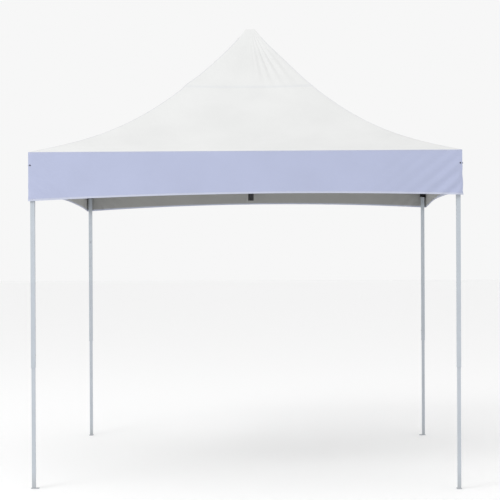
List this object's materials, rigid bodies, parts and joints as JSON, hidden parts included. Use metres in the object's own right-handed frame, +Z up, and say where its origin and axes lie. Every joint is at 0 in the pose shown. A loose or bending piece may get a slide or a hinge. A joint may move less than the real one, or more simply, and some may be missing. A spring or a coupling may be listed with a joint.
{
  "type": "pop up canopy",
  "caption": "Square pop up canopy on four telescoping legs, with a folding scissor frame, a pointed cloth roof and a curved valance.",
  "frame": {"origin": "on the floor, under the middle of the frame", "axes": "+Z up, -Y the front side, +X to the right seen from the front"},
  "size_m": [3.022, 3.022, 3.41],
  "materials": {
    "powder_steel": "satin powder coat",
    "zinc_steel": "satin powder coat",
    "zinc_button": "zinc plated",
    "black_plastic": "moulded, fine grain",
    "cover_fabric": "coated woven polyester"
  },
  "bodies": {
    "hub_and_cover": {"top_hub": "black_plastic", "canopy_cover": "cover_fabric"},
    "front_centre_falling_bar": {"front_centre_falling_bar": "powder_steel"},
    "front_centre_rising_bar": {"front_centre_rising_bar": "powder_steel"},
    "front_low_bracket": {"front_low_bracket": "black_plastic"},
    "front_top_bracket": {"front_top_bracket": "black_plastic"},
    "mast": {"mast": "powder_steel"},
    "mast_head": {"mast_head": "black_plastic"},
    "front_left_falling_bar": {"front_left_falling_bar": "powder_steel"},
    "front_left_rising_bar": {"front_left_rising_bar": "powder_steel"},
    "front_right_falling_bar": {"front_right_falling_bar": "powder_steel"},
    "front_right_rising_bar": {"front_right_rising_bar": "powder_steel"},
    "front_left_leg": {"front_left_outer_leg": "powder_steel", "front_left_corner_bracket": "black_plastic"},
    "front_left_slider": {"front_left_slider": "black_plastic"},
    "front_left_inner_leg": {"front_left_inner_leg": "zinc_steel"},
    "front_left_height_button": {"front_left_height_button": "zinc_button"},
    "front_left_lock_button": {"front_left_lock_button": "zinc_button"},
    "right_centre_falling_bar": {"right_centre_falling_bar": "powder_steel"},
    "right_centre_rising_bar": {"right_centre_rising_bar": "powder_steel"},
    "right_low_bracket": {"right_low_bracket": "black_plastic"},
    "right_top_bracket": {"right_top_bracket": "black_plastic"},
    "right_left_falling_bar": {"right_left_falling_bar": "powder_steel"},
    "right_left_rising_bar": {"right_left_rising_bar": "powder_steel"},
    "right_right_falling_bar": {"right_right_falling_bar": "powder_steel"},
    "right_right_rising_bar": {"right_right_rising_bar": "powder_steel"},
    "front_right_leg": {"front_right_outer_leg": "powder_steel", "front_right_corner_bracket": "black_plastic"},
    "front_right_slider": {"front_right_slider": "black_plastic"},
    "front_right_inner_leg": {"front_right_inner_leg": "zinc_steel"},
    "front_right_height_button": {"front_right_height_button": "zinc_button"},
    "front_right_lock_button": {"front_right_lock_button": "zinc_button"},
    "back_centre_falling_bar": {"back_centre_falling_bar": "powder_steel"},
    "back_centre_rising_bar": {"back_centre_rising_bar": "powder_steel"},
    "back_low_bracket": {"back_low_bracket": "black_plastic"},
    "back_top_bracket": {"back_top_bracket": "black_plastic"},
    "back_left_falling_bar": {"back_left_falling_bar": "powder_steel"},
    "back_left_rising_bar": {"back_left_rising_bar": "powder_steel"},
    "back_right_falling_bar": {"back_right_falling_bar": "powder_steel"},
    "back_right_rising_bar": {"back_right_rising_bar": "powder_steel"},
    "back_right_leg": {"back_right_outer_leg": "powder_steel", "back_right_corner_bracket": "black_plastic"},
    "back_right_slider": {"back_right_slider": "black_plastic"},
    "back_right_inner_leg": {"back_right_inner_leg": "zinc_steel"},
    "back_right_height_button": {"back_right_height_button": "zinc_button"},
    "back_right_lock_button": {"back_right_lock_button": "zinc_button"},
    "left_centre_falling_bar": {"left_centre_falling_bar": "powder_steel"},
    "left_centre_rising_bar": {"left_centre_rising_bar": "powder_steel"},
    "left_low_bracket": {"left_low_bracket": "black_plastic"},
    "left_top_bracket": {"left_top_bracket": "black_plastic"},
    "left_left_falling_bar": {"left_left_falling_bar": "powder_steel"},
    "left_left_rising_bar": {"left_left_rising_bar": "powder_steel"},
    "left_right_falling_bar": {"left_right_falling_bar": "powder_steel"},
    "left_right_rising_bar": {"left_right_rising_bar": "powder_steel"},
    "back_left_leg": {"back_left_outer_leg": "powder_steel", "back_left_corner_bracket": "black_plastic"},
    "back_left_slider": {"back_left_slider": "black_plastic"},
    "back_left_inner_leg": {"back_left_inner_leg": "zinc_steel"},
    "back_left_height_button": {"back_left_height_button": "zinc_button"},
    "back_left_lock_button": {"back_left_lock_button": "zinc_button"}
  },
  "joints": [
    {"name": "fold", "type": "hinge", "parent": "hub_and_cover", "child": "front_centre_falling_bar", "pos_m": [0, -0.048, 2.31], "axis": [1, 0, 0], "range_deg": [0, 81.9], "deforming": ["canopy_cover"]},
    {"name": "front_centre_cross", "type": "hinge", "parent": "front_centre_falling_bar", "child": "front_centre_rising_bar", "pos_m": [0, -0.7465, 2.2425], "axis": [-1, 0, 0], "range_deg": [0, 163.8]},
    {"name": "front_low_bracket_pivot", "type": "hinge", "parent": "front_centre_falling_bar", "child": "front_low_bracket", "pos_m": [0, -1.445, 2.175], "axis": [-1, 0, 0], "range_deg": [0, 81.9]},
    {"name": "front_top_bracket_pivot", "type": "hinge", "parent": "front_centre_rising_bar", "child": "front_top_bracket", "pos_m": [0, -1.445, 2.31], "axis": [1, 0, 0], "range_deg": [0, 81.9]},
    {"name": "mast_pivot", "type": "hinge", "parent": "front_centre_rising_bar", "child": "mast", "pos_m": [0, -0.048, 2.175], "axis": [1, 0, 0], "range_deg": [0, 81.9]},
    {"name": "mast_head_slide", "type": "slide", "parent": "mast", "child": "mast_head", "axis": [0, 0, 1], "range_m": [0, 0.23]},
    {"name": "front_left_fold", "type": "hinge", "parent": "front_low_bracket", "child": "front_left_falling_bar", "pos_m": [-0.038, -1.485, 2.175], "axis": [0, 1, 0], "range_deg": [0, 81.9]},
    {"name": "front_left_cross", "type": "hinge", "parent": "front_left_falling_bar", "child": "front_left_rising_bar", "pos_m": [-0.7365, -1.485, 2.2425], "axis": [0, -1, 0], "range_deg": [0, 163.8]},
    {"name": "front_right_fold", "type": "hinge", "parent": "front_low_bracket", "child": "front_right_falling_bar", "pos_m": [0.038, -1.485, 2.175], "axis": [0, -1, 0], "range_deg": [0, 81.9]},
    {"name": "front_right_cross", "type": "hinge", "parent": "front_right_falling_bar", "child": "front_right_rising_bar", "pos_m": [0.7365, -1.485, 2.2425], "axis": [0, 1, 0], "range_deg": [0, 163.8]},
    {"name": "front_left_leg_pivot", "type": "hinge", "parent": "front_left_falling_bar", "child": "front_left_leg", "pos_m": [-1.435, -1.485, 2.31], "axis": [0, -1, 0], "range_deg": [0, 81.9]},
    {"name": "front_left_slider_pivot", "type": "hinge", "parent": "front_left_rising_bar", "child": "front_left_slider", "pos_m": [-1.435, -1.485, 2.175], "axis": [0, 1, 0], "range_deg": [0, 81.9]},
    {"name": "front_left_leg_slide", "type": "slide", "parent": "front_left_leg", "child": "front_left_inner_leg", "axis": [0, 0, 1], "range_m": [0, 0.8], "deforming": ["front_left_height_button"]},
    {"name": "front_left_height_press", "type": "slide", "parent": "front_left_inner_leg", "child": "front_left_height_button", "axis": [-1, 0, 0], "range_m": [0, 0.006], "stiffness_N_per_m": 600, "springref_m": -0.004},
    {"name": "front_left_lock_press", "type": "slide", "parent": "front_left_leg", "child": "front_left_lock_button", "axis": [0, -1, 0], "range_m": [0, 0.005], "stiffness_N_per_m": 600, "springref_m": -0.004},
    {"name": "right_centre_fold", "type": "hinge", "parent": "hub_and_cover", "child": "right_centre_falling_bar", "pos_m": [0.048, 0, 2.31], "axis": [0, 1, 0], "range_deg": [0, 81.9]},
    {"name": "right_centre_cross", "type": "hinge", "parent": "right_centre_falling_bar", "child": "right_centre_rising_bar", "pos_m": [0.7465, 0, 2.2425], "axis": [0, -1, 0], "range_deg": [0, 163.8]},
    {"name": "right_low_bracket_pivot", "type": "hinge", "parent": "right_centre_falling_bar", "child": "right_low_bracket", "pos_m": [1.445, 0, 2.175], "axis": [0, -1, 0], "range_deg": [0, 81.9]},
    {"name": "right_top_bracket_pivot", "type": "hinge", "parent": "right_centre_rising_bar", "child": "right_top_bracket", "pos_m": [1.445, 0, 2.31], "axis": [0, 1, 0], "range_deg": [0, 81.9]},
    {"name": "right_left_fold", "type": "hinge", "parent": "right_low_bracket", "child": "right_left_falling_bar", "pos_m": [1.485, -0.038, 2.175], "axis": [-1, 0, 0], "range_deg": [0, 81.9]},
    {"name": "right_left_cross", "type": "hinge", "parent": "right_left_falling_bar", "child": "right_left_rising_bar", "pos_m": [1.485, -0.7365, 2.2425], "axis": [1, 0, 0], "range_deg": [0, 163.8]},
    {"name": "right_right_fold", "type": "hinge", "parent": "right_low_bracket", "child": "right_right_falling_bar", "pos_m": [1.485, 0.038, 2.175], "axis": [1, 0, 0], "range_deg": [0, 81.9]},
    {"name": "right_right_cross", "type": "hinge", "parent": "right_right_falling_bar", "child": "right_right_rising_bar", "pos_m": [1.485, 0.7365, 2.2425], "axis": [-1, 0, 0], "range_deg": [0, 163.8]},
    {"name": "front_right_leg_pivot", "type": "hinge", "parent": "right_left_falling_bar", "child": "front_right_leg", "pos_m": [1.485, -1.435, 2.31], "axis": [1, 0, 0], "range_deg": [0, 81.9]},
    {"name": "front_right_slider_pivot", "type": "hinge", "parent": "right_left_rising_bar", "child": "front_right_slider", "pos_m": [1.485, -1.435, 2.175], "axis": [-1, 0, 0], "range_deg": [0, 81.9]},
    {"name": "front_right_leg_slide", "type": "slide", "parent": "front_right_leg", "child": "front_right_inner_leg", "axis": [0, 0, 1], "range_m": [0, 0.8], "deforming": ["front_right_height_button"]},
    {"name": "front_right_height_press", "type": "slide", "parent": "front_right_inner_leg", "child": "front_right_height_button", "axis": [0, -1, 0], "range_m": [0, 0.006], "stiffness_N_per_m": 600, "springref_m": -0.004},
    {"name": "front_right_lock_press", "type": "slide", "parent": "front_right_leg", "child": "front_right_lock_button", "axis": [1, 0, 0], "range_m": [0, 0.005], "stiffness_N_per_m": 600, "springref_m": -0.004},
    {"name": "back_centre_fold", "type": "hinge", "parent": "hub_and_cover", "child": "back_centre_falling_bar", "pos_m": [0, 0.048, 2.31], "axis": [-1, 0, 0], "range_deg": [0, 81.9]},
    {"name": "back_centre_cross", "type": "hinge", "parent": "back_centre_falling_bar", "child": "back_centre_rising_bar", "pos_m": [0, 0.7465, 2.2425], "axis": [1, 0, 0], "range_deg": [0, 163.8]},
    {"name": "back_low_bracket_pivot", "type": "hinge", "parent": "back_centre_falling_bar", "child": "back_low_bracket", "pos_m": [0, 1.445, 2.175], "axis": [1, 0, 0], "range_deg": [0, 81.9]},
    {"name": "back_top_bracket_pivot", "type": "hinge", "parent": "back_centre_rising_bar", "child": "back_top_bracket", "pos_m": [0, 1.445, 2.31], "axis": [-1, 0, 0], "range_deg": [0, 81.9]},
    {"name": "back_left_fold", "type": "hinge", "parent": "back_low_bracket", "child": "back_left_falling_bar", "pos_m": [0.038, 1.485, 2.175], "axis": [0, -1, 0], "range_deg": [0, 81.9]},
    {"name": "back_left_cross", "type": "hinge", "parent": "back_left_falling_bar", "child": "back_left_rising_bar", "pos_m": [0.7365, 1.485, 2.2425], "axis": [0, 1, 0], "range_deg": [0, 163.8]},
    {"name": "back_right_fold", "type": "hinge", "parent": "back_low_bracket", "child": "back_right_falling_bar", "pos_m": [-0.038, 1.485, 2.175], "axis": [0, 1, 0], "range_deg": [0, 81.9]},
    {"name": "back_right_cross", "type": "hinge", "parent": "back_right_falling_bar", "child": "back_right_rising_bar", "pos_m": [-0.7365, 1.485, 2.2425], "axis": [0, -1, 0], "range_deg": [0, 163.8]},
    {"name": "back_right_leg_pivot", "type": "hinge", "parent": "back_left_falling_bar", "child": "back_right_leg", "pos_m": [1.435, 1.485, 2.31], "axis": [0, 1, 0], "range_deg": [0, 81.9]},
    {"name": "back_right_slider_pivot", "type": "hinge", "parent": "back_left_rising_bar", "child": "back_right_slider", "pos_m": [1.435, 1.485, 2.175], "axis": [0, -1, 0], "range_deg": [0, 81.9]},
    {"name": "back_right_leg_slide", "type": "slide", "parent": "back_right_leg", "child": "back_right_inner_leg", "axis": [0, 0, 1], "range_m": [0, 0.8], "deforming": ["back_right_height_button"]},
    {"name": "back_right_height_press", "type": "slide", "parent": "back_right_inner_leg", "child": "back_right_height_button", "axis": [1, 0, 0], "range_m": [0, 0.006], "stiffness_N_per_m": 600, "springref_m": -0.004},
    {"name": "back_right_lock_press", "type": "slide", "parent": "back_right_leg", "child": "back_right_lock_button", "axis": [0, 1, 0], "range_m": [0, 0.005], "stiffness_N_per_m": 600, "springref_m": -0.004},
    {"name": "left_centre_fold", "type": "hinge", "parent": "hub_and_cover", "child": "left_centre_falling_bar", "pos_m": [-0.048, 0, 2.31], "axis": [0, -1, 0], "range_deg": [0, 81.9]},
    {"name": "left_centre_cross", "type": "hinge", "parent": "left_centre_falling_bar", "child": "left_centre_rising_bar", "pos_m": [-0.7465, 0, 2.2425], "axis": [0, 1, 0], "range_deg": [0, 163.8]},
    {"name": "left_low_bracket_pivot", "type": "hinge", "parent": "left_centre_falling_bar", "child": "left_low_bracket", "pos_m": [-1.445, 0, 2.175], "axis": [0, 1, 0], "range_deg": [0, 81.9]},
    {"name": "left_top_bracket_pivot", "type": "hinge", "parent": "left_centre_rising_bar", "child": "left_top_bracket", "pos_m": [-1.445, 0, 2.31], "axis": [0, -1, 0], "range_deg": [0, 81.9]},
    {"name": "left_left_fold", "type": "hinge", "parent": "left_low_bracket", "child": "left_left_falling_bar", "pos_m": [-1.485, 0.038, 2.175], "axis": [1, 0, 0], "range_deg": [0, 81.9]},
    {"name": "left_left_cross", "type": "hinge", "parent": "left_left_falling_bar", "child": "left_left_rising_bar", "pos_m": [-1.485, 0.7365, 2.2425], "axis": [-1, 0, 0], "range_deg": [0, 163.8]},
    {"name": "left_right_fold", "type": "hinge", "parent": "left_low_bracket", "child": "left_right_falling_bar", "pos_m": [-1.485, -0.038, 2.175], "axis": [-1, 0, 0], "range_deg": [0, 81.9]},
    {"name": "left_right_cross", "type": "hinge", "parent": "left_right_falling_bar", "child": "left_right_rising_bar", "pos_m": [-1.485, -0.7365, 2.2425], "axis": [1, 0, 0], "range_deg": [0, 163.8]},
    {"name": "back_left_leg_pivot", "type": "hinge", "parent": "left_left_falling_bar", "child": "back_left_leg", "pos_m": [-1.485, 1.435, 2.31], "axis": [-1, 0, 0], "range_deg": [0, 81.9]},
    {"name": "back_left_slider_pivot", "type": "hinge", "parent": "left_left_rising_bar", "child": "back_left_slider", "pos_m": [-1.485, 1.435, 2.175], "axis": [1, 0, 0], "range_deg": [0, 81.9]},
    {"name": "back_left_leg_slide", "type": "slide", "parent": "back_left_leg", "child": "back_left_inner_leg", "axis": [0, 0, 1], "range_m": [0, 0.8], "deforming": ["back_left_height_button"]},
    {"name": "back_left_height_press", "type": "slide", "parent": "back_left_inner_leg", "child": "back_left_height_button", "axis": [0, 1, 0], "range_m": [0, 0.006], "stiffness_N_per_m": 600, "springref_m": -0.004},
    {"name": "back_left_lock_press", "type": "slide", "parent": "back_left_leg", "child": "back_left_lock_button", "axis": [-1, 0, 0], "range_m": [0, 0.005], "stiffness_N_per_m": 600, "springref_m": -0.004}
  ],
  "couplings": [
    {"joint": "front_centre_cross", "follows": "fold", "ratio": 2},
    {"joint": "front_low_bracket_pivot", "follows": "fold", "ratio": 1},
    {"joint": "front_top_bracket_pivot", "follows": "fold", "ratio": 1},
    {"joint": "mast_pivot", "follows": "fold", "ratio": 1},
    {"joint": "mast_head_slide", "follows": "fold", "m_per_rad": 0.1609},
    {"joint": "front_left_fold", "follows": "fold", "ratio": 1},
    {"joint": "front_left_cross", "follows": "fold", "ratio": 2},
    {"joint": "front_right_fold", "follows": "fold", "ratio": 1},
    {"joint": "front_right_cross", "follows": "fold", "ratio": 2},
    {"joint": "front_left_leg_pivot", "follows": "fold", "ratio": 1},
    {"joint": "front_left_slider_pivot", "follows": "fold", "ratio": 1},
    {"joint": "right_centre_fold", "follows": "fold", "ratio": 1},
    {"joint": "right_centre_cross", "follows": "fold", "ratio": 2},
    {"joint": "right_low_bracket_pivot", "follows": "fold", "ratio": 1},
    {"joint": "right_top_bracket_pivot", "follows": "fold", "ratio": 1},
    {"joint": "right_left_fold", "follows": "fold", "ratio": 1},
    {"joint": "right_left_cross", "follows": "fold", "ratio": 2},
    {"joint": "right_right_fold", "follows": "fold", "ratio": 1},
    {"joint": "right_right_cross", "follows": "fold", "ratio": 2},
    {"joint": "front_right_leg_pivot", "follows": "fold", "ratio": 1},
    {"joint": "front_right_slider_pivot", "follows": "fold", "ratio": 1},
    {"joint": "back_centre_fold", "follows": "fold", "ratio": 1},
    {"joint": "back_centre_cross", "follows": "fold", "ratio": 2},
    {"joint": "back_low_bracket_pivot", "follows": "fold", "ratio": 1},
    {"joint": "back_top_bracket_pivot", "follows": "fold", "ratio": 1},
    {"joint": "back_left_fold", "follows": "fold", "ratio": 1},
    {"joint": "back_left_cross", "follows": "fold", "ratio": 2},
    {"joint": "back_right_fold", "follows": "fold", "ratio": 1},
    {"joint": "back_right_cross", "follows": "fold", "ratio": 2},
    {"joint": "back_right_leg_pivot", "follows": "fold", "ratio": 1},
    {"joint": "back_right_slider_pivot", "follows": "fold", "ratio": 1},
    {"joint": "left_centre_fold", "follows": "fold", "ratio": 1},
    {"joint": "left_centre_cross", "follows": "fold", "ratio": 2},
    {"joint": "left_low_bracket_pivot", "follows": "fold", "ratio": 1},
    {"joint": "left_top_bracket_pivot", "follows": "fold", "ratio": 1},
    {"joint": "left_left_fold", "follows": "fold", "ratio": 1},
    {"joint": "left_left_cross", "follows": "fold", "ratio": 2},
    {"joint": "left_right_fold", "follows": "fold", "ratio": 1},
    {"joint": "left_right_cross", "follows": "fold", "ratio": 2},
    {"joint": "back_left_leg_pivot", "follows": "fold", "ratio": 1},
    {"joint": "back_left_slider_pivot", "follows": "fold", "ratio": 1}
  ]
}
